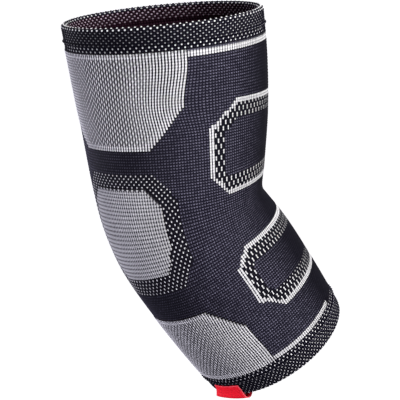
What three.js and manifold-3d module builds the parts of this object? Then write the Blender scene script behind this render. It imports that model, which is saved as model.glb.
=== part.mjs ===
// A knitted elbow brace: a seamless stretch sleeve, kept in the shape it takes on a slightly bent
// arm. The tube has a turned double welt at each rim, three thicker light panels down the back of
// the arm, and a woven label folded over the lower hem.
// The origin is the centre of the elbow, on the arm's axis. +Z runs up the upper arm, -X points
// out of the back of the elbow, and the forearm swings forward to +X and a little to -Y.
// Lengths are in millimetres, angles in degrees. A place on the sleeve is given by `down`, the
// distance along the arm from the upper rim, by `turn`, the angle round the arm from the middle
// of its back towards -Y, and by `out`, the height over the sleeve's outer face.

import * as THREE from 'three';
import Module from 'manifold-3d';

// The arm's course
const UPPER_LENGTH = 111; // upper rim to the centre of the elbow
const FOREARM_LENGTH = 94; // centre of the elbow to the lower rim
const BEND_LENGTH = 49; // stretch of the arm over which the elbow bends
const FLEX_ANGLE = 26; // forearm swung forward
const CARRYING_ANGLE = 12.5; // forearm turned outward

// The lower rim lies a little askew to the forearm
const RIM_TILT = 2.2; // forward
const RIM_TURN = 3.2; // inward
const RIM_TILT_START = 12; // below the centre of the elbow

// The sleeve's widths, side to side
const UPPER_RIM_WIDTH = 118;
const ELBOW_WIDTH = 92.4;
const LOWER_RIM_WIDTH = 87.8;

// The knitted walls
const WALL = 2;
const WELT_WALL = 2.8; // the double cloth of a turned rim
const PANEL_RISE = 0.5; // a panel's thicker knit over the sleeve's face
const GAP = 0.3; // between two pieces

// The cuffs, from the rim inwards
const CUFF_HEIGHT = 13;
const WELT_HEIGHT = 8;
const RIDGE_WIDTH = 1.6; // the roll where the welt is linked to the cuff
const RIDGE_CREST = 0.8; // its flat top
const RIDGE_RISE = 0.8;

// The light panels, each set evenly about the middle of the back
const UPPER_PANEL_WRAP_ANGLE = 52; // from the middle of the back to the panel's side
const ELBOW_PANEL_WRAP_ANGLE = 30.5;
const FOREARM_PANEL_WRAP_ANGLE = 49.7;
const ELBOW_PANEL_HEIGHT = 35;
const ELBOW_PANEL_LIFT = 6.6; // of the panel's middle above the centre of the elbow
const BAND_ABOVE = 21; // dark band between the upper and the elbow panel
const BAND_BELOW = 25.4; // dark band between the elbow and the forearm panel

// The label on the lower hem
const LABEL_WIDTH = 19;
const LABEL_TURN = -0.5; // of its middle from the middle of the back
const LABEL_THICKNESS = 0.6;
const LABEL_TUCK = 7; // its length up the inside

// How finely the round shapes are divided
const COLUMNS = 48;
const ROW_STEP = 6.5;
const FOLD_STEPS = 4;
const CUTTER_STEP = 8;
const CUTTER_REACH = 4; // of a panel's cutter past both faces of the wall

// Sections down the sleeve. run: share of the way down the upper arm or the forearm. taper: share
// of that stretch's change of width. back, front: depth from the arm's axis, as shares of half
// the width.
const SECTIONS = [
  { stretch: 'upper', run: 0, taper: 0, back: 0.849, front: 0.855 },
  { stretch: 'upper', run: 0.26, taper: 0.27, back: 0.884, front: 0.969 },
  { stretch: 'upper', run: 0.52, taper: 0.54, back: 0.924, front: 1.006 },
  { stretch: 'upper', run: 0.76, taper: 0.79, back: 0.976, front: 0.94 },
  { stretch: 'upper', run: 0.92, taper: 0.96, back: 0.998, front: 0.892 },
  { stretch: 'upper', run: 1, taper: 1, back: 0.998, front: 0.904 },
  { stretch: 'forearm', run: 0.13, taper: 0, back: 0.999, front: 0.943 },
  { stretch: 'forearm', run: 0.35, taper: 0.01, back: 0.999, front: 0.994 },
  { stretch: 'forearm', run: 0.67, taper: 0.31, back: 0.989, front: 0.992 },
  { stretch: 'forearm', run: 1, taper: 1, back: 0.966, front: 0.981 },
];

// Outlines of the panels. drop: share of the panel's height below its top edge. wrap: share of
// its angle from the middle of the back to its side.
const PANEL_OUTLINES = {
  upper: [
    { drop: 0, wrap: 1 },
    { drop: 0.15, wrap: 1 },
    { drop: 0.57, wrap: 0.93 },
    { drop: 0.97, wrap: 0.52 },
    { drop: 1, wrap: 0.5 },
  ],
  elbow: [
    { drop: 0, wrap: 0.69 },
    { drop: 0.25, wrap: 1 },
    { drop: 0.75, wrap: 1 },
    { drop: 1, wrap: 0.69 },
  ],
  forearm: [
    { drop: 0, wrap: 0.55 },
    { drop: 0.38, wrap: 0.94 },
    { drop: 0.71, wrap: 1 },
    { drop: 1, wrap: 1 },
  ],
};

const TOTAL_LENGTH = UPPER_LENGTH + FOREARM_LENGTH;
const FULL_TURN = 360;
const mix = THREE.MathUtils.lerp;
const radians = THREE.MathUtils.degToRad;

const wasm = await Module();
wasm.setup();

// A smooth curve through the table's values, whose slope at each row is the mean of the slopes
// on either side of it, each weighted by the other's length.
function smoothCurve(places, values) {
  const steep = places.slice(1).map((p, i) => (values[i + 1] - values[i]) / (p - places[i]));
  const slopes = values.map((_, i) => {
    if (i === 0) return steep[0];
    if (i === values.length - 1) return steep[i - 1];
    const before = places[i] - places[i - 1];
    const after = places[i + 1] - places[i];
    return (steep[i - 1] * after + steep[i] * before) / (before + after);
  });
  return (place) => {
    let i = 0;
    while (i < places.length - 2 && place > places[i + 1]) i += 1;
    const span = places[i + 1] - places[i];
    const u = THREE.MathUtils.clamp((place - places[i]) / span, 0, 1);
    const ends = mix(values[i], values[i + 1], u * u * (3 - 2 * u));
    const starts = slopes[i] * u * (1 - u) ** 2 - slopes[i + 1] * u * u * (1 - u);
    return ends + span * starts;
  };
}

// Half the width, and the depths behind and before the arm's axis, at any place down the sleeve.
function sectionCurves() {
  const upper = (row) => row.stretch === 'upper';
  const places = SECTIONS.map((row) => (
    upper(row) ? row.run * UPPER_LENGTH : UPPER_LENGTH + row.run * FOREARM_LENGTH));
  const halves = SECTIONS.map((row) => (
    upper(row)
      ? mix(UPPER_RIM_WIDTH, ELBOW_WIDTH, row.taper) / 2
      : mix(ELBOW_WIDTH, LOWER_RIM_WIDTH, row.taper) / 2));
  return {
    side: smoothCurve(places, halves),
    back: smoothCurve(places, SECTIONS.map((row, i) => row.back * halves[i])),
    front: smoothCurve(places, SECTIONS.map((row, i) => row.front * halves[i])),
  };
}

// The angles by which the arm has swung forward and outward at a place down the sleeve.
function armAngles(down) {
  const bendStart = UPPER_LENGTH - BEND_LENGTH / 2;
  const share = THREE.MathUtils.smoothstep(down, bendStart, bendStart + BEND_LENGTH);
  return { flex: radians(FLEX_ANGLE) * share, carry: radians(CARRYING_ANGLE) * share };
}

function armDirection(down) {
  const { flex, carry } = armAngles(down);
  return new THREE.Vector3(
    Math.sin(flex) * Math.cos(carry), -Math.sin(carry), -Math.cos(flex) * Math.cos(carry));
}

// The arm's axis as a point for each step down the sleeve, with the elbow's centre at the origin.
function armAxis(steps = 200) {
  const step = TOTAL_LENGTH / steps;
  const points = [new THREE.Vector3()];
  for (let i = 0; i < steps; i += 1) {
    points.push(points[i].clone().addScaledVector(armDirection((i + 0.5) * step), step));
  }
  const at = (down) => {
    const inside = THREE.MathUtils.clamp(down, 0, TOTAL_LENGTH);
    const i = Math.min(Math.floor(inside / step), steps - 1);
    return points[i].clone()
      .lerp(points[i + 1], inside / step - i)
      .addScaledVector(armDirection(down), down - inside);
  };
  const elbow = at(UPPER_LENGTH);
  return (down) => at(down).sub(elbow);
}

const section = sectionCurves();
const axisPoint = armAxis();

// A point of the knit: the section is half an ellipse behind the axis and half of one before it.
function knitPoint(down, turn, out) {
  const { flex, carry } = armAngles(down);
  const askew = THREE.MathUtils.clamp(
    (down - UPPER_LENGTH - RIM_TILT_START) / (FOREARM_LENGTH - RIM_TILT_START), 0, 1);
  const tilt = flex + radians(RIM_TILT) * askew;
  const swing = carry - radians(RIM_TURN) * askew;
  const toBack = new THREE.Vector3(-Math.cos(tilt), 0, -Math.sin(tilt));
  const toSide = new THREE.Vector3(
    -Math.sin(tilt) * Math.sin(swing), -Math.cos(swing), Math.cos(tilt) * Math.sin(swing));
  const cosine = Math.cos(radians(turn));
  const depth = cosine > 0 ? section.back(down) : section.front(down);
  return axisPoint(down)
    .addScaledVector(toBack, (depth + out) * cosine)
    .addScaledVector(toSide, (section.side(down) + out) * Math.sin(radians(turn)));
}

// A solid carried through loops of points. Each loop runs along the outer face and back along the
// inner one; a closed row of loops makes a ring, an open one gets flat ends.
function loft(loops, closed) {
  const count = loops[0].length;
  const vertProperties = new Float32Array(loops.flat().flatMap((point) => point.toArray()));
  const triangles = [];
  const quad = (a, b, c, d) => triangles.push(a, b, c, a, c, d);
  for (let k = 0; k < (closed ? loops.length : loops.length - 1); k += 1) {
    const here = k * count;
    const next = ((k + 1) % loops.length) * count;
    for (let i = 0; i < count; i += 1) {
      const j = (i + 1) % count;
      quad(here + i, here + j, next + j, next + i);
    }
  }
  const last = (loops.length - 1) * count;
  for (let i = 0; !closed && i < count / 2 - 1; i += 1) {
    const inner = count - 1 - i;
    quad(i, inner, inner - 1, i + 1);
    quad(last + inner, last + i, last + i + 1, last + inner - 1);
  }
  return new wasm.Manifold(new wasm.Mesh({
    numProp: 3, vertProperties, triVerts: new Uint32Array(triangles),
  }));
}

// A ring of the sleeve from its profile, a closed list of places down the sleeve and heights.
function ring(profile) {
  const loops = [];
  for (let j = 0; j < COLUMNS; j += 1) {
    loops.push(profile.map(({ down, out }) => knitPoint(down, (j * FULL_TURN) / COLUMNS, out)));
  }
  return loft(loops, true);
}

// The wall between two places down the sleeve, its outer face raised by `rise`.
function wall(from, to, rise) {
  const rows = Math.ceil((to - from) / ROW_STEP);
  const outside = [];
  for (let i = 0; i <= rows; i += 1) {
    outside.push({ down: mix(from, to, i / rows), out: rise });
  }
  const inside = outside.map(({ down }) => ({ down, out: -WALL })).reverse();
  return ring([...outside, ...inside]);
}

// A turned rim in section, as distances in from the rim and heights: outside up to the ridge,
// and back along the inside to the round fold.
function cuffProfile() {
  const fold = WELT_WALL / 2;
  const rim = [];
  for (let i = 0; i <= FOLD_STEPS; i += 1) {
    const angle = (Math.PI * i) / FOLD_STEPS;
    rim.push({ along: fold * (1 - Math.sin(angle)), out: fold * (Math.cos(angle + Math.PI) - 1) });
  }
  const linked = WELT_HEIGHT + RIDGE_WIDTH;
  const shoulder = (RIDGE_WIDTH - RIDGE_CREST) / 2;
  return [
    ...rim,
    { along: WELT_HEIGHT, out: 0 },
    { along: WELT_HEIGHT + shoulder, out: RIDGE_RISE },
    { along: linked - shoulder, out: RIDGE_RISE },
    { along: linked, out: 0 },
    { along: CUFF_HEIGHT - GAP, out: 0 },
    { along: CUFF_HEIGHT - GAP, out: -WALL },
    { along: linked, out: -WALL },
    { along: WELT_HEIGHT, out: -WELT_WALL },
  ];
}

function upperCuff() {
  return ring(cuffProfile().map(({ along, out }) => ({ down: along, out })));
}

function lowerCuff() {
  return ring(cuffProfile().map(({ along, out }) => ({ down: TOTAL_LENGTH - along, out })).reverse());
}

// The three panels' places: the outer two reach from the elbow panel's dark bands to the cuffs.
function panelPlaces() {
  const elbowTop = UPPER_LENGTH - ELBOW_PANEL_LIFT - ELBOW_PANEL_HEIGHT / 2;
  const elbowBottom = elbowTop + ELBOW_PANEL_HEIGHT;
  const forearmBottom = TOTAL_LENGTH - CUFF_HEIGHT;
  return {
    upper: { top: CUFF_HEIGHT, bottom: elbowTop - BAND_ABOVE, wrap: UPPER_PANEL_WRAP_ANGLE },
    elbow: { top: elbowTop, bottom: elbowBottom, wrap: ELBOW_PANEL_WRAP_ANGLE },
    forearm: { top: elbowBottom + BAND_BELOW, bottom: forearmBottom, wrap: FOREARM_PANEL_WRAP_ANGLE },
  };
}

// A block of the panel's outline that passes right through the wall, grown by `grow` all round.
function panelBlock(outline, place, grow) {
  const growTurn = THREE.MathUtils.radToDeg(grow / (ELBOW_WIDTH / 2));
  const rows = [];
  outline.forEach((row, i) => {
    const before = outline[Math.max(i - 1, 0)];
    const span = (row.drop - before.drop) * (place.bottom - place.top);
    const steps = Math.max(Math.ceil(span / CUTTER_STEP), 1);
    for (let k = i === 0 ? steps : 1; k <= steps; k += 1) {
      const drop = mix(before.drop, row.drop, k / steps);
      rows.push({
        down: mix(place.top - grow, place.bottom + grow, drop),
        half: mix(before.wrap, row.wrap, k / steps) * place.wrap + growTurn,
      });
    }
  });
  const columns = Math.ceil((2 * place.wrap * COLUMNS) / FULL_TURN);
  return loft(rows.map(({ down, half }) => {
    const outer = [];
    for (let j = 0; j <= columns; j += 1) {
      outer.push(knitPoint(down, mix(half, -half, j / columns), PANEL_RISE + CUTTER_REACH));
    }
    const inner = [];
    for (let j = columns; j >= 0; j -= 1) {
      inner.push(knitPoint(down, mix(half, -half, j / columns), -WALL - CUTTER_REACH));
    }
    return [...outer, ...inner];
  }), false);
}

// The dark tube between the cuffs, open where the panels are knitted in.
function knitSleeve() {
  const places = panelPlaces();
  let tube = wall(CUFF_HEIGHT, TOTAL_LENGTH - CUFF_HEIGHT, 0);
  for (const name of Object.keys(PANEL_OUTLINES)) {
    tube = tube.subtract(panelBlock(PANEL_OUTLINES[name], places[name], GAP / 2));
  }
  return tube;
}

function panel(name) {
  const place = panelPlaces()[name];
  const thick = wall(place.top, place.bottom, PANEL_RISE);
  return thick.intersect(panelBlock(PANEL_OUTLINES[name], place, -GAP / 2));
}

// The label: up the outside of the welt to its ridge, round the rim and up the inside.
function hemLabel() {
  const fold = WELT_WALL / 2;
  const face = (lift) => {
    const radius = fold + lift;
    const points = [{ along: WELT_HEIGHT - GAP, out: lift }];
    for (let i = 0; i <= FOLD_STEPS; i += 1) {
      const angle = (Math.PI * i) / FOLD_STEPS;
      points.push({ along: fold - radius * Math.sin(angle), out: radius * Math.cos(angle) - fold });
    }
    points.push({ along: LABEL_TUCK, out: -WELT_WALL - lift });
    return points;
  };
  const profile = [...face(GAP + LABEL_THICKNESS), ...face(GAP).reverse()];
  const reach = THREE.MathUtils.radToDeg(LABEL_WIDTH / LOWER_RIM_WIDTH);
  const columns = Math.ceil((2 * reach * COLUMNS) / FULL_TURN);
  const loops = [];
  for (let j = 0; j <= columns; j += 1) {
    const turn = LABEL_TURN + mix(-reach, reach, j / columns);
    loops.push(profile.map(({ along, out }) => knitPoint(TOTAL_LENGTH - along, turn, out)));
  }
  return loft(loops, false);
}

const DARK_YARN = { color: 0x2c2b35, roughness: 0.9, metalness: 0 };
const LIGHT_YARN = { color: 0x9d9ba5, roughness: 0.85, metalness: 0 };
const LABEL_RED = { color: 0xe01f2d, roughness: 0.6, metalness: 0 };

function piece(name, solid, finish) {
  const mesh = solid.getMesh();
  const geometry = new THREE.BufferGeometry();
  geometry.setAttribute('position', new THREE.BufferAttribute(mesh.vertProperties, 3));
  geometry.setIndex(new THREE.BufferAttribute(mesh.triVerts, 1));
  geometry.computeVertexNormals();
  const made = new THREE.Mesh(geometry, new THREE.MeshStandardMaterial(finish));
  made.name = name;
  return made;
}

const elbowBrace = new THREE.Group();
elbowBrace.add(
  piece('knit_sleeve', knitSleeve(), DARK_YARN),
  piece('upper_cuff', upperCuff(), DARK_YARN),
  piece('lower_cuff', lowerCuff(), DARK_YARN),
  piece('upper_arm_panel', panel('upper'), LIGHT_YARN),
  piece('elbow_panel', panel('elbow'), LIGHT_YARN),
  piece('forearm_panel', panel('forearm'), LIGHT_YARN),
  piece('hem_label', hemLabel(), LABEL_RED),
);

export default elbowBrace;
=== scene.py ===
import bpy
import numpy as np
from mathutils import Matrix, Vector


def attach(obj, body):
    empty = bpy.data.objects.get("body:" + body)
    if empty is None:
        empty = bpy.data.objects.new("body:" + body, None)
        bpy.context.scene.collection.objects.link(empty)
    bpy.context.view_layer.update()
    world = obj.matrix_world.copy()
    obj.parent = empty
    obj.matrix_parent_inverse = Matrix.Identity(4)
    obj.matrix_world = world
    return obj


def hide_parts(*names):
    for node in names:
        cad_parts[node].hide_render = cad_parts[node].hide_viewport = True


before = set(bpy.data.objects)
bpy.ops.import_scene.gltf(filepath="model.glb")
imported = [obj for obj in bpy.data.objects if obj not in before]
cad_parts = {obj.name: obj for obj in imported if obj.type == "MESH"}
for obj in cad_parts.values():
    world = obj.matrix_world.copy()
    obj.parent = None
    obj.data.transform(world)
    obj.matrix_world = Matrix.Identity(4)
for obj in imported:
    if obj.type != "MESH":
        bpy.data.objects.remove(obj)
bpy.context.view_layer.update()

MM = 0.001
rng = np.random.default_rng(7)

# The arm's course and the sleeve's widths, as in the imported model
UPPER_LENGTH = 111 * MM
FOREARM_LENGTH = 94 * MM
TOTAL_LENGTH = UPPER_LENGTH + FOREARM_LENGTH
BEND_LENGTH = 49 * MM
FLEX_ANGLE = np.radians(26)
CARRYING_ANGLE = np.radians(12.5)
UPPER_RIM_WIDTH = 118 * MM
ELBOW_WIDTH = 92.4 * MM
LOWER_RIM_WIDTH = 87.8 * MM
# The lower rim lies a little askew to the arm, and the sections above it less and less
RIM_TILT = np.radians(2.2)
RIM_TURN = np.radians(3.2)
RIM_TILT_START = 12 * MM

# Sections: stretch of the arm, share of the way down it, share of its change of width, and the
# depths behind and before the axis as shares of half the width
SECTIONS = [
    ("upper", 0, 0, 0.849, 0.855),
    ("upper", 0.26, 0.27, 0.884, 0.969),
    ("upper", 0.52, 0.54, 0.924, 1.006),
    ("upper", 0.76, 0.79, 0.976, 0.94),
    ("upper", 0.92, 0.96, 0.998, 0.892),
    ("upper", 1, 1, 0.998, 0.904),
    ("forearm", 0.13, 0, 0.999, 0.943),
    ("forearm", 0.35, 0.01, 0.999, 0.994),
    ("forearm", 0.67, 0.31, 0.989, 0.992),
    ("forearm", 1, 1, 0.966, 0.981),
]

# The cloth
WALL = 2 * MM
WELT_WALL = 2.8 * MM
CUFF_HEIGHT = 13 * MM
WELT_HEIGHT = 8 * MM
RIDGE_WIDTH = 1.6 * MM
RIDGE_RISE = 0.8 * MM
PANEL_RISE = 0.35 * MM
WALES = 200
COURSES = 116
COURSE_PITCH = (TOTAL_LENGTH - 2 * CUFF_HEIGHT) / COURSES

# A cuff's profile, from its inner end over the rim to its outer end, as rows of (course counted
# along the cloth, distance from the rim, height over the outer face)
FOLD = WELT_WALL / 2
LINKED = WELT_HEIGHT + RIDGE_WIDTH
CUFF_PROFILE = [
    (0, CUFF_HEIGHT, -WALL),
    (2, LINKED, -WALL),
    (3, WELT_HEIGHT, -WELT_WALL),
    (8, FOLD, -WELT_WALL),
    (11, FOLD, 0),
    (16, WELT_HEIGHT, 0),
    (17, LINKED, 0),
    (19, CUFF_HEIGHT, 0),
]
FOLD_COURSES = (8, 11)
RIDGE_COURSES = (16, 17)
CUFF_COURSES = 19

# How high the stitches stand: the wales as ribs, the courses as chevrons along them
SLEEVE_RIB = 0.28 * MM
PANEL_RIB = 0.45 * MM
ELBOW_RIB = 0.35 * MM
CUFF_RIB = 0.3 * MM
COURSE_RIB = 0.1 * MM
CHEVRON_LEAN = 0.35  # of a chevron from the middle of its wale to its sides, in courses
DOT_RISE = (0.5 * MM, 0.25 * MM)  # of the dots at the upper rim and the lower one
DOT_DIP = 0.35 * MM  # of the dots elsewhere in a cuff
# The cloth's wandering: waves of (height, how many round the arm, courses to a radian along it)
WANDERING = [(0.05 * MM, 3, 9), (0.04 * MM, 7, 14), (0.03 * MM, 12, 6)]

# The courses sway round the front of the arm: by so many courses down it at its front, at a course
SWAY = [(3, 0), (20, 2.2), (51, -3.3), (79, 4.9), (103, 1.3), (114, 0)]
SWAY_START = 43  # the wale where it begins
# The tight panels draw the wales at their sides towards the back: by how many degrees, at a course,
# for the wale at PINCHED_WALE, and fading out on both sides of it
PINCH = [(4, 0), (19, 3.4), (31, 0), (87, 0), (99, 1.9), (113, 0)]
PINCHED_WALE = 28
PINCH_REACH = 12

# The knitter's chart, in wales from the middle of the back and courses from the upper cuff.
# Each panel and the dotted field is the same on both sides of the back: (course, half its width).
UPPER_PANEL = [(0, 29), (19.5, 29), (33.4, 14.9), (34.4, 14.5)]
ELBOW_PANEL = [(47, 12), (53.2, 17), (64.4, 17), (70.7, 12)]
FOREARM_PANEL = [(87.2, 15.2), (98.2, 27), (116, 27)]
DOTTED_FIELD = [(42, 15), (50.7, 22.5), (68.8, 23.5), (76, 15.5)]
# Each loop runs round the front of the arm: its side as (course, wale), from its top to its bottom
LOOPS = [
    [(19, 47), (28.5, 35.2), (44.6, 34.6), (53.5, 43.2)],
    [(75.4, 42), (81, 34.8), (94.1, 35), (102, 43.4)],
]
LOOP_BAND = (2, 2)  # wales and courses of unbroken light yarn at a loop's edge
LOOP_DASHES = (6, 7)  # wales and courses to the inner edge of its dashes
RIBBED_BORDER = (4, 2)  # wales and courses of unbroken light yarn at a ribbed panel's edge
LINE_COURSES = 2
LOWER_LINE_END = 62  # the wale where the line at the lower cuff ends

# How light the light yarn shows, with 1 as its full tone
FIELD_TONE = 0.9
FIRST_TONE = 0.04  # of the tube's first course, between the upper cuff and its line
PLAIN_TONE = 0.7
RIBBED_TEETH = 0.5  # every second stitch of a ribbed panel's top edge
PLAIN_TEETH = 0.05  # the same of the plain panel
CUFF_TONES = [0, 0, 0, 0.3, 0.4, 0.5, 0.6, 0.65, 0.8, 1, 1, 0.6, 0.6, 0.6, 0.6, 0.6, 0.5, 1, 1]
# The same, at a count of wales from the back's middle: of the loops' dashes, of the darker stitches
# in a ribbed panel, and as a share of CUFF_TONES on the outside of the welts
DASH_TONES = [(50, 1), (70, 0.4)]
RIBBED_TONES = [(5, 0.2), (19, 0.97)]
# Painted shade: the dots on the welts painted dimmer towards the back and the front of the arm
WELT_PAINTED_SHADE = [(6, 0.38), (32, 1), (50, 1), (70, 0.5)]
# How far the dark yarn's lighter specks show and its ground is lifted: little between dots and
# dashes, where the ground is blacker, and painted sheen at a count of wales
DULL = 0.08
# Painted sheen on the sleeve: the dark yarn painted lighter towards the sides of the arm, where the
# light falls
SLEEVE_PAINTED_SHEEN = [(8, 0.3), (30, 1.15), (44, 1.15), (62, 0.1)]
# Painted sheen on the cuffs: the dark yarn painted lighter from the back towards the side of the arm
CUFF_PAINTED_SHEEN = [(10, DULL), (55, 0.4)]

# How broad light yarn lies: half a stitch of it as a share of half its wale
DOT_WIDTH = 0.52
INNER_DOT_WIDTH = 0.64  # of the dots inside a cuff, to the top of its rim
LOOP_WIDTH = 0.62
ROW_WIDTH = 0.8  # in an unbroken row
RIBBED_WIDTH = 0.6
BORDER_WIDTH = 0.66
PLAIN_WIDTH = 0.86
# How far light stitches run together along a wale
FULL_JOIN = 1
RIBBED_JOIN = 0.7
PLAIN_JOIN = 0.42

# The label
LABEL_WIDTH = 19 * MM
LABEL_TURN = np.radians(-0.5)
LABEL_THICKNESS = 0.6 * MM
LABEL_TUCK = 7 * MM
LABEL_SLACK = (-0.5 * MM, 2 * MM)  # by which its fold hangs below the rim, at its two sides
LABEL_FLARE = (3 * MM, 0.6 * MM)  # by which its outer leg stands off the welt, at its two sides
LABEL_SKEW = np.radians(3)  # of the inner leg against the outer one
GAP = 0.3 * MM  # between the label and the welt


# The shape of the arm


def smooth_curve(places, values, at):
    """A smooth curve through the values: between two rows it eases from one to the other with the
    slopes of the table at both."""
    slopes = np.gradient(values, places)
    i = np.clip(np.searchsorted(places, at) - 1, 0, len(places) - 2)
    span = places[i + 1] - places[i]
    u = np.clip((at - places[i]) / span, 0, 1)
    ends = values[i] + (values[i + 1] - values[i]) * u * u * (3 - 2 * u)
    return ends + span * (slopes[i] * u * (1 - u) ** 2 - slopes[i + 1] * u * u * (1 - u))


def section(down):
    """Half the sleeve's width, and its depths behind and before the axis, at a place down it."""
    upper = np.array([row[0] == "upper" for row in SECTIONS])
    run, taper, back, front = np.array([row[1:] for row in SECTIONS], float).T
    places = np.where(upper, run * UPPER_LENGTH, UPPER_LENGTH + run * FOREARM_LENGTH)
    above = UPPER_RIM_WIDTH + (ELBOW_WIDTH - UPPER_RIM_WIDTH) * taper
    below = ELBOW_WIDTH + (LOWER_RIM_WIDTH - ELBOW_WIDTH) * taper
    half = np.where(upper, above, below) / 2
    return [smooth_curve(places, half * share, down) for share in (1, back, front)]


def arm_angles(down):
    """The forward and outward swing, which ease in over the bend as 3x^2 - 2x^3."""
    x = np.clip((down - UPPER_LENGTH) / BEND_LENGTH + 0.5, 0, 1)
    share = x * x * (3 - 2 * x)
    return FLEX_ANGLE * share, CARRYING_ANGLE * share


def arm_direction(down):
    """The way down the arm: straight down, swung forward by the flex and outward by the carry."""
    flex, carry = arm_angles(down)
    return np.stack(
        [np.sin(flex) * np.cos(carry), -np.sin(carry), -np.cos(flex) * np.cos(carry)], -1
    )


def arm_axis(down, steps=400):
    """The arm's axis: the sum of its direction over short steps, from the elbow's centre."""
    step = TOTAL_LENGTH / steps
    course = np.cumsum(arm_direction((np.arange(steps) + 0.5) * step) * step, 0)
    course = np.concatenate([np.zeros((1, 3)), course])
    knots = np.arange(steps + 1) * step

    def along(d):
        return np.stack([np.interp(d, knots, course[:, k]) for k in range(3)], -1)

    inside = np.clip(down, 0, TOTAL_LENGTH)
    return along(inside) + arm_direction(down) * (down - inside)[..., None] - along(UPPER_LENGTH)


def knit_point(down, turn, out):
    """A point of the cloth: half an ellipse behind the axis and half of one before it, in the plane
    across the arm, `out` beyond the outer face."""
    down, turn, out = np.broadcast_arrays(np.asarray(down, float), turn, out)
    flex, carry = arm_angles(down)
    askew = (down - UPPER_LENGTH - RIM_TILT_START) / (FOREARM_LENGTH - RIM_TILT_START)
    askew = np.clip(askew, 0, 1)
    tilt = flex + RIM_TILT * askew
    swing = carry - RIM_TURN * askew
    to_back = np.stack([-np.cos(tilt), 0 * tilt, -np.sin(tilt)], -1)
    to_side = np.stack(
        [-np.sin(tilt) * np.sin(swing), -np.cos(swing), np.cos(tilt) * np.sin(swing)], -1
    )
    side, back, front = section(down)
    depth = np.where(np.cos(turn) > 0, back, front)
    across = to_side * ((side + out) * np.sin(turn))[..., None]
    return arm_axis(down) + to_back * ((depth + out) * np.cos(turn))[..., None] + across


# Where the stitches lie


def eased(at, places, values):
    """Values that ease from each one to the next as 3x^2 - 2x^3."""
    steps = np.arange(len(places))
    step = np.interp(at, places, steps)
    x = step % 1
    return np.interp(np.floor(step) + x * x * (3 - 2 * x), steps, values)


def pinch(wale, course):
    """How far the panels draw a stitch towards the back, as an angle."""
    courses, angles = np.array(PINCH, float).T
    share = eased(np.abs(wale), [0, PINCHED_WALE, PINCHED_WALE + PINCH_REACH], [0, 1, 0])
    return np.sign(wale) * share * eased(course, courses, np.radians(angles))


def wale_turn(wale, course=-1):
    """The angle round the arm of a count of wales."""
    wale = (np.asarray(wale, float) + WALES / 2) % WALES - WALES / 2
    return wale * 2 * np.pi / WALES - pinch(wale, course)


def course_down(course, wale=0):
    """The place down the arm of a count of courses, which sway as a quarter sine of the wales."""
    courses, by = np.array(SWAY, float).T
    reach = np.minimum(np.abs(wale), WALES - np.abs(wale))
    share = np.clip((reach - SWAY_START) / (WALES / 2 - SWAY_START), 0, 1)
    course = course + np.sin(share * np.pi / 2) * eased(course, courses, by)
    return CUFF_HEIGHT + course * COURSE_PITCH


def cloth(course, wale, out):
    """The points of the tube's cloth at its courses and wales, `out` beyond its outer face."""
    return knit_point(course_down(course, wale), wale_turn(wale, course), out)


def stitch_grid(courses, across=1, along=1):
    """The courses and wales of a grid of points all round, `along` by `across` to a stitch."""
    rows = np.arange(courses * along + 1) / along
    columns = np.arange(WALES * across) / across
    return np.meshgrid(rows, columns, indexing="ij")


# The chart: its functions give grids with a value of each stitch


def counts():
    """The middle of each stitch: its wales from the middle of the back, and its course."""
    wale = (np.arange(WALES) + 0.5 + WALES / 2) % WALES - WALES / 2
    course = np.arange(COURSES) + 0.5
    return np.meshgrid(np.abs(wale), course)


def by_wale(table):
    """One row of values, interpolated between the table's (wales from the back's middle, value)."""
    wales, values = np.array(table, float).T
    return np.interp(counts()[0][0], wales, values)


def within(outline):
    """The stitches of a shape that is the same on both sides of the back."""
    wale, course = counts()
    courses, halves = np.array(outline, float).T
    inside = (course > courses[0]) & (course < courses[-1])
    return inside & (wale < np.interp(course, courses, halves))


def loop_region(side):
    """The stitches inside a loop: beyond its side, from the side's top to its bottom."""
    wale, course = counts()
    courses, edge = np.array(side, float).T
    inside = (course > courses[0]) & (course < courses[-1])
    return inside & (wale > np.interp(course, courses, edge))


def moved(grid, by):
    """The grid moved `by` courses down, or up where that is negative, with 0 in what it leaves."""
    rest = np.zeros((abs(by), grid.shape[1]), grid.dtype)
    return np.vstack([rest, grid[:-by]]) if by > 0 else np.vstack([grid[-by:], rest])


def inset(region, wales, courses):
    """The region less a border of so many wales and courses."""
    left = region.copy()
    for k in range(1, wales + 1):
        left &= np.roll(region, k, 1) & np.roll(region, -k, 1)
    for k in range(1, courses + 1):
        left &= moved(region, k) & moved(region, -k)
    return left


def checked(tall=1):
    """Every second stitch, in cells one wale wide and `tall` courses high."""
    course, wale = np.indices((COURSES, WALES))
    return (wale + course // tall) % 2 == 0


def toothed(region, rest):
    """The region as a tone of 1, with the tone `rest` at every second stitch of its top edge."""
    topmost = region & ~moved(region, 1)
    return np.where(topmost & checked(), rest, region * 1.0)


def loop_width(light):
    """How broad each light stitch is: broader in a row of them, where each has light ones on both
    sides, and in the teeth that stand on such a row."""
    beside = np.roll(light, 1, 1) & np.roll(light, -1, 1)
    return np.where(beside | moved(beside & light, -1), ROW_WIDTH, LOOP_WIDTH)


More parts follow.
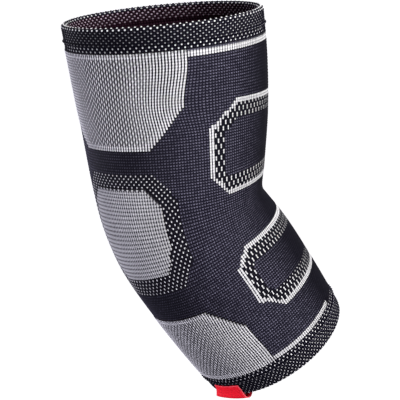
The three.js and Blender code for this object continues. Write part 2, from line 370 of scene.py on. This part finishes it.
def sleeve_chart(panels):
    """Where the dark tube shows light yarn: the dotted field, the loops and the two lines. Its own
    dark yarn has painted sheen, most at the sides of the arm, and a blacker ground with fewer specks
    between dots or dashes. Like each chart, it gives the tone, width and specks and painted sheen of
    the stitches, and how far they join."""
    wale, course = counts()
    field = within(DOTTED_FIELD)
    dashed = np.zeros_like(field)
    light = field & checked()
    for side in LOOPS:
        region = loop_region(side)
        core = inset(region, *LOOP_BAND)
        dashes = core & ~inset(region, *LOOP_DASHES)
        light |= region & ~core
        light |= dashes & checked(tall=2)
        dashed |= dashes
    light |= course < LINE_COURSES + 1
    light |= (course > COURSES - LINE_COURSES) & (wale < LOWER_LINE_END)
    light &= ~panels
    tone = np.where(field, FIELD_TONE, np.where(dashed, by_wale(DASH_TONES), 1))
    tone = np.where(course < 1, FIRST_TONE, tone) * light
    width = np.where(field | dashed, DOT_WIDTH, loop_width(light))
    # Painted sheen by the wale, and a blacker ground between dots and dashes
    specks_and_sheen = np.where(field | dashed, DULL, by_wale(SLEEVE_PAINTED_SHEEN))
    return tone, width, specks_and_sheen, FULL_JOIN


def ribbed_chart(panel):
    """A ribbed panel: an unbroken border round a field of lighter and darker stitches."""
    border = panel & ~inset(panel, *RIBBED_BORDER)
    tone = np.where(border | checked(), 1, by_wale(RIBBED_TONES)) * toothed(panel, RIBBED_TEETH)
    width = np.where(border, BORDER_WIDTH, RIBBED_WIDTH)
    return tone, width, np.ones(panel.shape), RIBBED_JOIN


def plain_chart(panel):
    """The panel over the elbow's point: broad stitches of one tone."""
    tone = PLAIN_TONE * toothed(panel, PLAIN_TEETH)
    return tone, np.full(panel.shape, PLAIN_WIDTH), np.ones(panel.shape), PLAIN_JOIN


def cuff_chart():
    """A cuff, from its inner end over the rim to its outer end: every second stitch is a dot. The
    dots outside are painted dimmer towards the back and the front as painted shade, on the welt more
    so than below it."""
    tone = checked()[:CUFF_COURSES] * np.array(CUFF_TONES)[:, None]
    # Painted shade of the dots outside, by the wale
    painted_shade = by_wale(WELT_PAINTED_SHADE)
    tone[FOLD_COURSES[1]:RIDGE_COURSES[1]] *= painted_shade
    tone[RIDGE_COURSES[1]:] *= painted_shade ** 0.5
    width = np.full(tone.shape, DOT_WIDTH)
    width[:FOLD_COURSES[1]] = INNER_DOT_WIDTH
    # Painted sheen of the cuff's dark yarn, rising from the back towards the side
    specks_and_sheen = np.broadcast_to(by_wale(CUFF_PAINTED_SHEEN), tone.shape)
    return tone, width, specks_and_sheen, FULL_JOIN


# Meshes


def knit_relief(wale, course, rib, chevron):
    """Ribs along the wales, rounded as 1 - |2x|^2.4 across, with chevrons cos(2 pi y) along them
    that lean back towards the rib's sides."""
    x = np.abs(2 * (wale % 1) - 1)
    crown = 1 - x ** 2.4
    lean = CHEVRON_LEAN * x - 0.5
    return rib * crown + chevron * np.cos(2 * np.pi * (course + lean)) * (1 - x ** 4)


def unevenness(wale, course):
    """A little wandering of the hand of the cloth: a few long waves with random phases, the sine
    of the wales by the sine of the courses."""
    total = np.zeros_like(wale)
    for height, waves, length in WANDERING:
        phase, lean = rng.uniform(0, 2 * np.pi), rng.uniform(0, 2 * np.pi)
        round_it = 2 * np.pi * waves * wale / WALES
        total += height * np.sin(round_it + phase) * np.sin(course / length + lean)
    return total


def raised(points, height):
    """The grid of points moved along its normals, which are the cross product of its rows' and
    columns' steps; the columns close on themselves."""
    downward = np.gradient(points, axis=0)
    around = np.roll(points, -1, 1) - np.roll(points, 1, 1)
    normal = np.cross(downward, around)
    normal /= np.linalg.norm(normal, axis=-1, keepdims=True)
    return points + normal * height[..., None]


def quads(count, shape, pitch=(1, 1), turned=False):
    """Four-sided faces on a grid of points of this shape: `count` gives how many down and across,
    and they close on the grid's start where they pass its end. Also the stitch coordinates of
    their corners, with `pitch` faces to a stitch."""
    row, column = np.indices(count).reshape(2, -1)
    steps = [(0, 0), (1, 0), (1, 1), (0, 1)]
    if turned:
        steps.reverse()
    index = [(row + a) % shape[0] * shape[1] + (column + b) % shape[1] for a, b in steps]
    corners = [np.stack([(column + b) / pitch[1], (row + a) / pitch[0]], -1) for a, b in steps]
    return np.stack(index, -1), np.stack(corners, 1)


def put_mesh(name, points, faces, corners, material):
    """A mesh of faces with any number of sides: `faces` is a list of index arrays, one for each
    count of sides, and `corners` the like list of stitch coordinates."""
    used, compact = np.unique(np.concatenate([f.ravel() for f in faces]), return_inverse=True)
    sides = np.concatenate([np.full(len(f), f.shape[1]) for f in faces])
    mesh = bpy.data.meshes.new(name)
    mesh.vertices.add(len(used))
    mesh.vertices.foreach_set("co", points[used].astype(np.float32).ravel())
    mesh.loops.add(len(compact))
    mesh.loops.foreach_set("vertex_index", compact.astype(np.int32))
    mesh.polygons.add(len(sides))
    mesh.polygons.foreach_set("loop_start", np.concatenate([[0], np.cumsum(sides)[:-1]]))
    mesh.polygons.foreach_set("use_smooth", np.ones(len(sides), bool))
    stitch = mesh.uv_layers.new(name="stitch")
    flat = np.concatenate([c.reshape(-1, 2) for c in corners]).astype(np.float32)
    stitch.uv.foreach_set("vector", flat.ravel())
    mesh.update(calc_edges=True)
    mesh.validate()
    mesh.materials.append(material)
    piece = bpy.data.objects.new(name, mesh)
    bpy.context.collection.objects.link(piece)
    return piece


def face_values(piece, name, values):
    """A number kept on each face of the piece."""
    layer = piece.data.attributes.new(name, "FLOAT", "FACE")
    layer.data.foreach_set("value", values.astype(np.float32))


def stitch_values(piece, chart, row, column, inner):
    """What the yarn's material reads of each face's stitch: how light its yarn is, how broad its
    loop, how far its ground shows lighter specks and painted sheen, how light the stitches above and
    below it in its wale are, how far light loops run together along a wale, and whether the face is
    inside: 0.5 where it still shows its light yarn, and 1 where not."""
    light, width, specks_and_sheen, join = chart
    grids = {
        "light": light,
        "width": width,
        "specks_and_sheen": specks_and_sheen,
        "above": moved(light, 1),
        "below": moved(light, -1),
    }
    for name, grid in grids.items():
        face_values(piece, name, grid[row, column] * (inner < 1))
    face_values(piece, "inner", inner > 0)
    face_values(piece, "join", np.full(len(inner), join))


def knit_wall(name, held, across, along, rib, rise, chart, material):
    """A piece of the tube: the stitches that `held` marks, each divided into `across` by `along`
    faces outside and one face inside, with a wall's thickness between them. Round the piece's
    edge, one many-sided face for each stitch joins its outer and inner edges."""
    course, wale = stitch_grid(COURSES, across, along)
    rows, columns = course.shape
    height = rise + knit_relief(wale, course, rib, COURSE_RIB) - rib / 2
    skin = raised(cloth(course, wale, 0), height + unevenness(wale, course))
    lining = cloth(*stitch_grid(COURSES), -WALL)
    points = np.concatenate([skin.reshape(-1, 3), lining.reshape(-1, 3)])

    def outside(row, column):
        return row * columns + column % columns

    def inside(row, column):
        return rows * columns + row * WALES + column % WALES

    held_row, held_column = np.nonzero(held)
    faces, corners, stitches, inner = [], [], [], []

    def add(at, wrong_side, outer_steps, inner_steps=()):
        """A face of each stitch `at`, whose corners lie (courses, wales) from the stitch's own."""
        row, column = held_row[at], held_column[at]
        index = [outside(row * along + a, column * across + b) for a, b in outer_steps]
        index += [inside(row + a, column + b) for a, b in inner_steps]
        steps = [(a / along, b / across) for a, b in outer_steps] + list(inner_steps)
        faces.append(np.stack(index, -1))
        corners.append(np.stack([np.stack([column + b, row + a], -1) for a, b in steps], 1))
        stitches.append(at)
        inner.append(np.full(len(at), float(wrong_side)))

    every = np.arange(len(held_row))
    for i in range(along):
        for j in range(across):
            add(every, False, [(i, j), (i + 1, j), (i + 1, j + 1), (i, j + 1)])
    add(every, True, [], [(0, 0), (0, 1), (1, 1), (1, 0)])
    edges = [
        (moved(held, 1), [(0, j) for j in range(across + 1)], [(0, 1), (0, 0)]),
        (moved(held, -1), [(along, j) for j in range(across, -1, -1)], [(1, 0), (1, 1)]),
        (np.roll(held, 1, 1), [(i, 0) for i in range(along, -1, -1)], [(0, 0), (1, 0)]),
        (np.roll(held, -1, 1), [(i, across) for i in range(along + 1)], [(1, 1), (0, 1)]),
    ]
    for neighbour, outer_edge, inner_edge in edges:
        add(np.nonzero(~neighbour[held])[0], True, outer_edge, inner_edge)
    piece = put_mesh(name, points, faces, corners, material)
    at = np.concatenate(stitches)
    stitch_values(piece, chart, held_row[at], held_column[at], np.concatenate(inner))
    declare_knit()
    return piece


def declare_knit():
    """The tube's cloth at every course and wale; nothing is measured or kept from these points. The
    back is knitted looser where it spreads over the elbow."""
    course, wale = np.meshgrid(np.arange(COURSES + 1), np.arange(WALES + 1), indexing="ij")
    grid = cloth(course, wale, 0)


def cuff_path(course):
    """Distance from the rim and height along the cuff's profile: straight between its rows, half
    round over the fold, and raised as a squared half wave over the ridge."""
    rows, along, out = np.array(CUFF_PROFILE).T
    first, last = FOLD_COURSES
    angle = np.pi * np.clip((course - first) / (last - first), 0, 1)
    folded = (course >= first) & (course <= last)
    ridge = np.clip((course - RIDGE_COURSES[0]) / (RIDGE_COURSES[1] - RIDGE_COURSES[0]), 0, 1)
    along = np.where(folded, FOLD * (1 - np.sin(angle)), np.interp(course, rows, along))
    out = np.where(folded, -FOLD * (1 + np.cos(angle)), np.interp(course, rows, out))
    return along, out + RIDGE_RISE * np.sin(np.pi * ridge) ** 2


def cuff_relief(wale, course, dots, rise):
    """A cuff's ribs and chevrons, with a dome of (1 - x^2)(1 - y^2) on each of the dots, which
    stands up by `rise` at the middle of the fold and is sunk from two courses beside it on."""
    x, y = np.abs(2 * (wale % 1) - 1), np.abs(2 * (course % 1) - 1)
    row = np.minimum(course, CUFF_COURSES - 0.5).astype(int)
    edge = np.clip(1 - np.abs(course - np.mean(FOLD_COURSES)) / 2, 0, 1)
    tops = (rise * edge - DOT_DIP * (1 - edge)) * dots[row, wale.astype(int)]
    dome = tops * (1 - x ** 2) * (1 - y ** 2)
    return knit_relief(wale, course, CUFF_RIB, COURSE_RIB) - CUFF_RIB / 2 + dome


def girth(course):
    """The length round the tube at a course: the sum of the steps from wale to wale."""
    ring = cloth(course, np.arange(WALES), 0)
    return np.linalg.norm(ring - np.roll(ring, 1, 0), axis=-1).sum()


def knit_cuff(name, lower, material, across=4, along=4):
    """A cuff: its stitches run down the inside, over the rim and down the outside, and a last row
    of faces joins its two ends."""
    chart = cuff_chart()
    course, wale = stitch_grid(CUFF_COURSES, across, along)
    distance, out = cuff_path(course)
    down = TOTAL_LENGTH - distance if lower else distance
    height = cuff_relief(wale, course, chart[0] > 0, DOT_RISE[lower])
    points = raised(knit_point(down, wale_turn(wale), out), -height if lower else height)
    faces, corners = quads(course.shape, course.shape, (along, across), turned=lower)
    piece = put_mesh(name, points.reshape(-1, 3), [faces], [corners], material)
    row, column = np.indices(course.shape).reshape(2, -1) // [[along], [across]]
    inner = np.where(row == CUFF_COURSES, 1, 0.5 * (row < FOLD_COURSES[0]))
    stitch_values(piece, chart, row % CUFF_COURSES, column, inner)
    girth(COURSES if lower else 0)
    return piece


def label_face(lift, across, fold_steps, leg_steps):
    """One face of the label, `lift` off the welt: down the outside, half round the rim and up the
    inside. Its outer leg stands off as the square of the way to the fold, which is half an ellipse
    and hangs a little lower towards one side."""
    reach = LABEL_WIDTH / LOWER_RIM_WIDTH
    turn = LABEL_TURN + np.linspace(-reach, reach, across + 1)
    slack = np.linspace(*LABEL_SLACK, across + 1)
    flare = np.linspace(*LABEL_FLARE, across + 1)
    angle = np.linspace(0, np.pi, fold_steps + 1)
    outer_leg = np.linspace(WELT_HEIGHT - GAP, FOLD, leg_steps, endpoint=False)
    inner_leg = np.linspace(FOLD, LABEL_TUCK, leg_steps + 1)[1:]
    growth = np.linspace(0, 1, leg_steps)
    distance = np.concatenate([outer_leg, FOLD - (FOLD + lift) * np.sin(angle), inner_leg])
    hang = np.concatenate([growth, 0 * angle + 1, growth[::-1]])
    skew = np.concatenate([0 * outer_leg, angle / np.pi, 0 * inner_leg + 1]) * LABEL_SKEW
    outer, inner = lift + flare, -WELT_WALL - lift
    height = np.concatenate([
        lift + flare * growth[:, None] ** 2,
        (outer + inner) / 2 + (outer - inner) / 2 * np.cos(angle)[:, None],
        np.full((leg_steps, across + 1), inner),
    ])
    down = TOTAL_LENGTH - distance[:, None] + hang[:, None] * slack
    return knit_point(down, turn + skew[:, None], height)


def hem_label(material, across=60, fold_steps=16, leg_steps=14):
    """The label: its outer face, then its inner face back again, closed at its ends and sides."""
    front, back = [
        label_face(lift, across, fold_steps, leg_steps) for lift in (GAP + LABEL_THICKNESS, GAP)
    ]
    ribbon = np.concatenate([front, back[::-1]])
    rows, columns = ribbon.shape[:2]
    skin, skin_corners = quads((rows, across), (rows, columns), (rows / 2, across))
    i = np.arange(rows // 2 - 1)
    side = np.stack([i, rows - 1 - i, rows - 2 - i, i + 1], -1) * columns
    sides = np.concatenate([side, side[:, ::-1] + across])
    corners = [skin_corners, np.zeros((len(sides), 4, 2))]
    piece = put_mesh("hem_label_ribbon", ribbon.reshape(-1, 3), [skin, sides], corners, material)
    return piece


# Materials

LIGHT_YARN = (0.82, 0.815, 0.83, 1)
WRONG_SIDE = (0.013, 0.0045, 0.009, 1)
WRONG_SIDE_LIGHT = (0.72, 0.58, 0.7, 1)
# Each knit's dark yarn, the lighter crests of its strands (the yarn's fleck, with a painted
# highlight), and how much it shines
KNITS = {
    "dark_knit": ((0.0082, 0.0075, 0.0142, 1), (0.15, 0.143, 0.2, 1), 0.045),
    "light_knit": ((0.007, 0.0065, 0.01, 1), (0.03, 0.029, 0.04, 1), 0.06),
    "cuff_knit": ((0.003, 0.0026, 0.0075, 1), (0.155, 0.146, 0.21, 1), 0.02),
}
LABEL_RED = (1, 0.009, 0.026, 1)
# A painted highlight along the label's edges
LABEL_EDGE_HIGHLIGHT = (1, 0.1, 0.13, 1)
PALE = (0.9, 0.9, 0.9, 1)
GLOW = (1, 1, 1, 1)


class Nodes:
    """A material and short ways to add and link its nodes."""

    def __init__(self, name):
        self.material = bpy.data.materials.new(name)
        self.material.use_nodes = True
        self.tree = self.material.node_tree
        self.shader = self.tree.nodes["Principled BSDF"]

    def add(self, kind, **settings):
        """A new node."""
        node = self.tree.nodes.new(kind)
        for key, value in settings.items():
            setattr(node, key, value)
        return node

    def put(self, socket, value):
        """A link from another socket, or a value set on this one."""
        if isinstance(value, bpy.types.NodeSocket):
            self.tree.links.new(value, socket)
        else:
            socket.default_value = value

    def math(self, operation, *values):
        """The result of one operation on up to three values."""
        node = self.add("ShaderNodeMath", operation=operation)
        for socket, value in zip(node.inputs, values):
            self.put(socket, value)
        return node.outputs[0]

    def ease(self, value, low, high):
        """0 at low and 1 at high, smooth between."""
        node = self.add("ShaderNodeMapRange", interpolation_type="SMOOTHSTEP")
        for name, number in (("Value", value), ("From Min", low), ("From Max", high)):
            self.put(node.inputs[name], number)
        return node.outputs[0]

    def mix(self, share, a, b, blend="MIX"):
        """Colour a, with colour b over it by its share."""
        node = self.add("ShaderNodeMix", data_type="RGBA", blend_type=blend)
        self.put(node.inputs[0], share)
        self.put(node.inputs[6], a)
        self.put(node.inputs[7], b)
        return node.outputs[2]

    def shade(self, colour, factor):
        """The colour times a factor."""
        return self.mix(1.0, colour, factor, "MULTIPLY")

    def face(self, name):
        """A value kept on the piece's faces."""
        return self.add("ShaderNodeAttribute", attribute_name=name).outputs["Fac"]

    def stitch(self):
        """The two stitch coordinates, across and along."""
        split = self.add("ShaderNodeSeparateXYZ")
        self.put(split.inputs[0], self.add("ShaderNodeUVMap", uv_map="stitch").outputs[0])
        return split.outputs[0], split.outputs[1]

    def noise(self, scale):
        """Noise with so many cells to the metre, fixed to the piece."""
        node = self.add("ShaderNodeTexNoise")
        node.inputs["Scale"].default_value = scale
        self.put(node.inputs["Vector"], self.add("ShaderNodeTexCoord").outputs["Object"])
        return node.outputs[0]

    def chance(self, across, along):
        """A random number for each whole pair of stitch coordinates."""
        cell = self.add("ShaderNodeCombineXYZ")
        self.put(cell.inputs[0], self.math("FLOOR", across))
        self.put(cell.inputs[1], self.math("FLOOR", along))
        node = self.add("ShaderNodeTexWhiteNoise", noise_dimensions="2D")
        self.put(node.inputs["Vector"], cell.outputs[0])
        return node.outputs["Value"]

    def bump(self, height, strength, distance):
        """Relief in the shading alone."""
        node = self.add("ShaderNodeBump")
        node.inputs["Strength"].default_value = strength
        node.inputs["Distance"].default_value = distance
        self.put(node.inputs["Height"], height)
        self.put(self.shader.inputs["Normal"], node.outputs[0])

    def gloss(self, **values):
        """Values set on the shader's own sockets."""
        for name, value in values.items():
            self.put(self.shader.inputs[name.replace("_", " ")], value)


def light_loops(n, x, y, v):
    """How far the chart's light yarn shows: 1 inside an ellipse of the stitch's width that nicks in
    towards its ends, and 0 a little outside it. Where the stitch above or below is light as well,
    the ellipse opens towards it, and some of its tone spills over. x and y are the distances from
    the stitch's middle, and v is how far down it the point lies."""
    lower_half = n.math("GREATER_THAN", v, 0.5)
    below = n.math("MULTIPLY", n.face("below"), lower_half)
    above = n.math("MULTIPLY", n.face("above"), n.math("SUBTRACT", 1.0, lower_half))
    beside = n.math("ADD", above, below)
    joined = n.math("MULTIPLY", n.math("GREATER_THAN", beside, 0.01), n.face("join"))
    open_y = n.math("MULTIPLY", y, n.math("SUBTRACT", 1.0, joined))
    nick = n.math("MULTIPLY", n.math("MULTIPLY", y, y), 0.14)
    half_width = n.math("SUBTRACT", n.face("width"), nick)
    half_height = n.math("MINIMUM", n.math("ADD", n.face("width"), 0.04), 0.66)
    radius = n.math("SQRT", n.math("ADD",
        n.math("POWER", n.math("DIVIDE", x, half_width), 2.0),
        n.math("POWER", n.math("DIVIDE", open_y, half_height), 2.0)))
    own = n.face("light")
    spilled = n.math("MULTIPLY", beside, n.ease(y, 0.35, 0.9))
    spilled = n.math("MULTIPLY", spilled, n.math("GREATER_THAN", own, 0.01))
    return n.math("MULTIPLY", n.ease(radius, 1.25, 0.7), n.math("MAXIMUM", own, spilled))


def yarn_material(name, dark, crest, shine):
    """Knitted yarn. Each stitch is two strands that lean apart, with a lighter crest on each: the
    yarn's lighter fleck with a painted highlight, as strong as the painted sheen. Light yarn lies
    over them where the chart has it, painted darker between the crowns of its stitches as painted
    shade.
    Inside is the purl side, in its own tones, with painted shade between its bumps."""
    n = Nodes(name)
    wale, course = n.stitch()
    u, v = n.math("FRACT", wale), n.math("FRACT", course)
    x = n.math("ABSOLUTE", n.math("MULTIPLY_ADD", u, 2.0, -1.0))
    y = n.math("ABSOLUTE", n.math("MULTIPLY_ADD", v, 2.0, -1.0))
    shown = light_loops(n, x, y, v)

    lean = n.math("MULTIPLY_ADD", x, CHEVRON_LEAN, v)
    wave = n.math("COSINE", n.math("MULTIPLY", n.math("SUBTRACT", lean, 0.67), 2 * np.pi))
    crown = n.ease(wave, -0.2, 1.0)
    varied = n.math("MULTIPLY_ADD", n.chance(wale, course), 0.7, 0.5)
    # The lighter crests: the yarn's fleck and a painted highlight, scaled by the painted sheen
    fleck_and_highlight = n.math("MULTIPLY", n.ease(wave, -0.4, 1.0), n.ease(x, 0.88, 0.2))
    fleck_and_highlight = n.math("MULTIPLY", fleck_and_highlight, n.math("MULTIPLY", n.face("specks_and_sheen"), varied))
    purl = n.math("MULTIPLY", n.face("inner"), n.math("MULTIPLY", crown, n.ease(x, 1.0, 0.3)))

    # The dark ground, painted lighter with the painted sheen and blacker between dots and dashes
    front = n.shade(dark, n.math("MULTIPLY_ADD", n.face("specks_and_sheen"), 0.5, 0.5))
    # The purl side: painted light on its bumps and painted shade between them
    back = n.shade(WRONG_SIDE, n.math("MULTIPLY_ADD", purl, 1.6, 0.5))
    ground = n.mix(n.face("inner"), n.mix(fleck_and_highlight, front, crest), back)
    yarn = n.mix(n.face("inner"), LIGHT_YARN, WRONG_SIDE_LIGHT)
    # Painted shade: the light yarn darker between the crowns of its stitches
    yarn = n.shade(yarn, n.math("MULTIPLY_ADD", crown, 0.25, 0.75))
    fibre = n.noise(1500)
    uneven = n.math("MULTIPLY", n.math("MULTIPLY_ADD", fibre, 0.5, 0.75),
                    n.math("MULTIPLY_ADD", n.noise(60), 0.3, 0.85))
    n.put(n.shader.inputs["Base Color"], n.shade(n.mix(shown, ground, yarn), uneven))
    height = n.math("ADD", n.math("MULTIPLY", n.math("ADD", fleck_and_highlight, purl), 0.7),
                    n.math("ADD", n.math("MULTIPLY", shown, 0.5), n.math("MULTIPLY", fibre, 0.3)))
    n.bump(height, 0.7, 0.3 * MM)
    n.gloss(Roughness=0.6, Specular_IOR_Level=shine, Sheen_Weight=shine / 2, Sheen_Roughness=0.4)
    return n.material


def label_material(threads=60, picks=70):
    """Woven satin ribbon: a fine weave, the sine of its threads by the sine of its picks, and a
    painted highlight along its edges, a little lighter than its field."""
    n = Nodes("woven_label")
    across, along = n.stitch()
    from_middle = n.math("ABSOLUTE", n.math("SUBTRACT", n.math("MULTIPLY", across, 2.0), 1.0))
    # Painted highlight along the ribbon's sides and its outer end
    edge = n.math("MAXIMUM", n.ease(from_middle, 0.93, 0.97), n.ease(along, 0.03, 0.015))
    colour = n.mix(edge, LABEL_RED, LABEL_EDGE_HIGHLIGHT)
    colour = n.shade(colour, n.math("MULTIPLY_ADD", n.noise(1400), 0.2, 0.88))
    n.put(n.shader.inputs["Base Color"], colour)
    warp = n.math("SINE", n.math("MULTIPLY", across, 2 * np.pi * threads))
    weft = n.math("SINE", n.math("MULTIPLY", along, 2 * np.pi * picks))
    n.bump(n.math("MULTIPLY", warp, weft), 0.3, 0.08 * MM)
    n.gloss(Roughness=0.5, Specular_IOR_Level=0.1)
    return n.material


def plain_material(name, colour, glow):
    """One dull colour that gives off some white light."""
    n = Nodes(name)
    n.gloss(Base_Color=colour, Roughness=0.9, Emission_Color=GLOW, Emission_Strength=glow)
    return n.material


# The brace


def dress_brace():
    """Every piece of the brace, each in the place of its solid."""
    dark, light, cuff = [yarn_material(name, *looks) for name, looks in KNITS.items()]
    panels = {
        "upper_arm_panel": (UPPER_PANEL, ribbed_chart, PANEL_RIB),
        "elbow_panel": (ELBOW_PANEL, plain_chart, ELBOW_RIB),
        "forearm_panel": (FOREARM_PANEL, ribbed_chart, PANEL_RIB),
    }
    cells = {node: within(outline) for node, (outline, chart, rib) in panels.items()}
    held = np.any(list(cells.values()), axis=0)
    pieces = {
        "knit_sleeve": knit_wall("sleeve_knit", ~held, 2, 2, SLEEVE_RIB, 0, sleeve_chart(held), dark),
        "upper_cuff": knit_cuff("upper_cuff_knit", False, cuff),
        "lower_cuff": knit_cuff("lower_cuff_knit", True, cuff),
        "hem_label": hem_label(label_material()),
    }
    for node, (outline, chart, rib) in panels.items():
        pieces[node] = knit_wall(
            node + "_knit", cells[node], 4, 4, rib, PANEL_RISE, chart(cells[node]), light
        )
    for node, piece in pieces.items():
        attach(piece, "root")
        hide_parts(node)


# The studio

FRAME_PIXELS = 400
ELBOW_PIXEL = (187.3, 213.2)  # where the centre of the elbow lies in the picture
PIXELS_PER_METRE = 1807.5  # of the picture, at the elbow's distance
CAMERA_DISTANCE = 1.025
CAMERA_TURN = np.radians(43.1)  # from straight behind the elbow towards -Y
CAMERA_LIFT = np.radians(5.66)
ARM_LEAN = np.radians(9.23)  # of the upper arm from the picture's upright, backwards
# Each light a metre from the elbow: its turn to the right of the camera and its lift, its size in
# metres, its power in watts and its colour
SOFTBOXES = [
    ("key", np.radians(32), np.radians(30), 0.5, 14, (1, 0.99, 0.97)),
    ("fill", np.radians(-45), np.radians(-38), 0.5, 4.8, (0.88, 0.86, 1)),
    ("rim", np.radians(-110), np.radians(0), 0.5, 5, (0.86, 0.84, 1)),
    ("back", np.radians(180), np.radians(15), 0.5, 5, (1, 0.99, 0.98)),
]
ROOM_LIGHT = 0.22
ROOM_COLOUR = (0.9, 0.88, 1, 1)
FLOOR_REACH = 8
FLOOR_DEPTH = 0.8
FLOOR_GLOW = 0.9
DOME_TOP = 1.5  # the lift of the dome's highest row of points, in radians


def as_pictured(vector):
    """A direction of the upright picture, turned by the upper arm's lean into the part's frame."""
    return Matrix.Rotation(ARM_LEAN, 3, "Y") @ Vector(vector)


def add_camera():
    """A camera that looks at the elbow's centre, shifted so that it lies where it is pictured."""
    towards = as_pictured((
        -np.cos(CAMERA_TURN) * np.cos(CAMERA_LIFT),
        -np.sin(CAMERA_TURN) * np.cos(CAMERA_LIFT),
        np.sin(CAMERA_LIFT),
    ))
    right = as_pictured((np.sin(CAMERA_TURN), -np.cos(CAMERA_TURN), 0))
    up = towards.cross(right)
    data = bpy.data.cameras.new("camera")
    data.sensor_width = 36
    data.lens = PIXELS_PER_METRE * CAMERA_DISTANCE * data.sensor_width / FRAME_PIXELS
    data.shift_x = 0.5 - ELBOW_PIXEL[0] / FRAME_PIXELS
    data.shift_y = ELBOW_PIXEL[1] / FRAME_PIXELS - 0.5
    data.clip_start = 0.05
    camera = bpy.data.objects.new("camera", data)
    turn = Matrix((right, up, towards)).transposed().to_4x4()
    camera.matrix_world = Matrix.Translation(towards * CAMERA_DISTANCE) @ turn
    bpy.context.collection.objects.link(camera)
    bpy.context.scene.camera = camera
    return towards, right, up


def add_softbox(name, place, size, power, colour):
    """A square light that faces the elbow."""
    data = bpy.data.lights.new(name, "AREA")
    data.energy = power
    data.color = colour
    data.size = size
    lamp = bpy.data.objects.new(name, data)
    turn = place.to_track_quat("Z", "Y").to_matrix().to_4x4()
    lamp.matrix_world = Matrix.Translation(place) @ turn
    lamp.visible_camera = False
    bpy.context.collection.objects.link(lamp)


def floor():
    """A wide square, as its corners and its one face."""
    sides = [(-1, -1), (1, -1), (1, 1), (-1, 1)]
    return [(x * FLOOR_REACH, y * FLOOR_REACH, -FLOOR_DEPTH) for x, y in sides], [(0, 1, 2, 3)]


def backdrop(around=48, up=12):
    """A pale dome over the floor: a half sphere, as rows of points from the floor to its top."""
    turn, lift = np.meshgrid(np.arange(around) * 2 * np.pi / around, np.linspace(0, DOME_TOP, up))
    points = np.stack([np.cos(turn) * np.cos(lift), np.sin(turn) * np.cos(lift), np.sin(lift)], -1)
    points = points * FLOOR_REACH - [0, 0, FLOOR_DEPTH]
    faces, corners = quads((up - 1, around), (up, around))
    top = np.arange(around) + (up - 1) * around
    return points.reshape(-1, 3).tolist(), faces.tolist() + [top[::-1].tolist()]


def add_stage(name, points, faces, material):
    """A part of the stage, lit on its own: it throws no light on the brace and takes none away."""
    mesh = bpy.data.meshes.new(name)
    mesh.from_pydata(points, [], faces)
    mesh.materials.append(material)
    part = bpy.data.objects.new(name, mesh)
    part.visible_diffuse = False
    part.visible_glossy = False
    part.visible_shadow = False
    bpy.context.collection.objects.link(part)


def add_studio():
    """A wide pale floor below the brace under a pale dome, four softboxes and a soft room light."""
    towards, right, up = add_camera()
    pale = plain_material("pale", PALE, FLOOR_GLOW)
    add_stage("floor", *floor(), pale)
    add_stage("backdrop", *backdrop(), pale)
    for name, turn, lift, size, power, colour in SOFTBOXES:
        across = towards * np.cos(turn) + right * np.sin(turn)
        add_softbox(name, across * np.cos(lift) + up * np.sin(lift), size, power, colour)
    world = bpy.data.worlds.new("room")
    world.use_nodes = True
    world.node_tree.nodes["Background"].inputs[0].default_value = ROOM_COLOUR
    world.node_tree.nodes["Background"].inputs[1].default_value = ROOM_LIGHT
    bpy.context.scene.world = world
    bpy.context.scene.view_settings.view_transform = "Standard"


dress_brace()
add_studio()
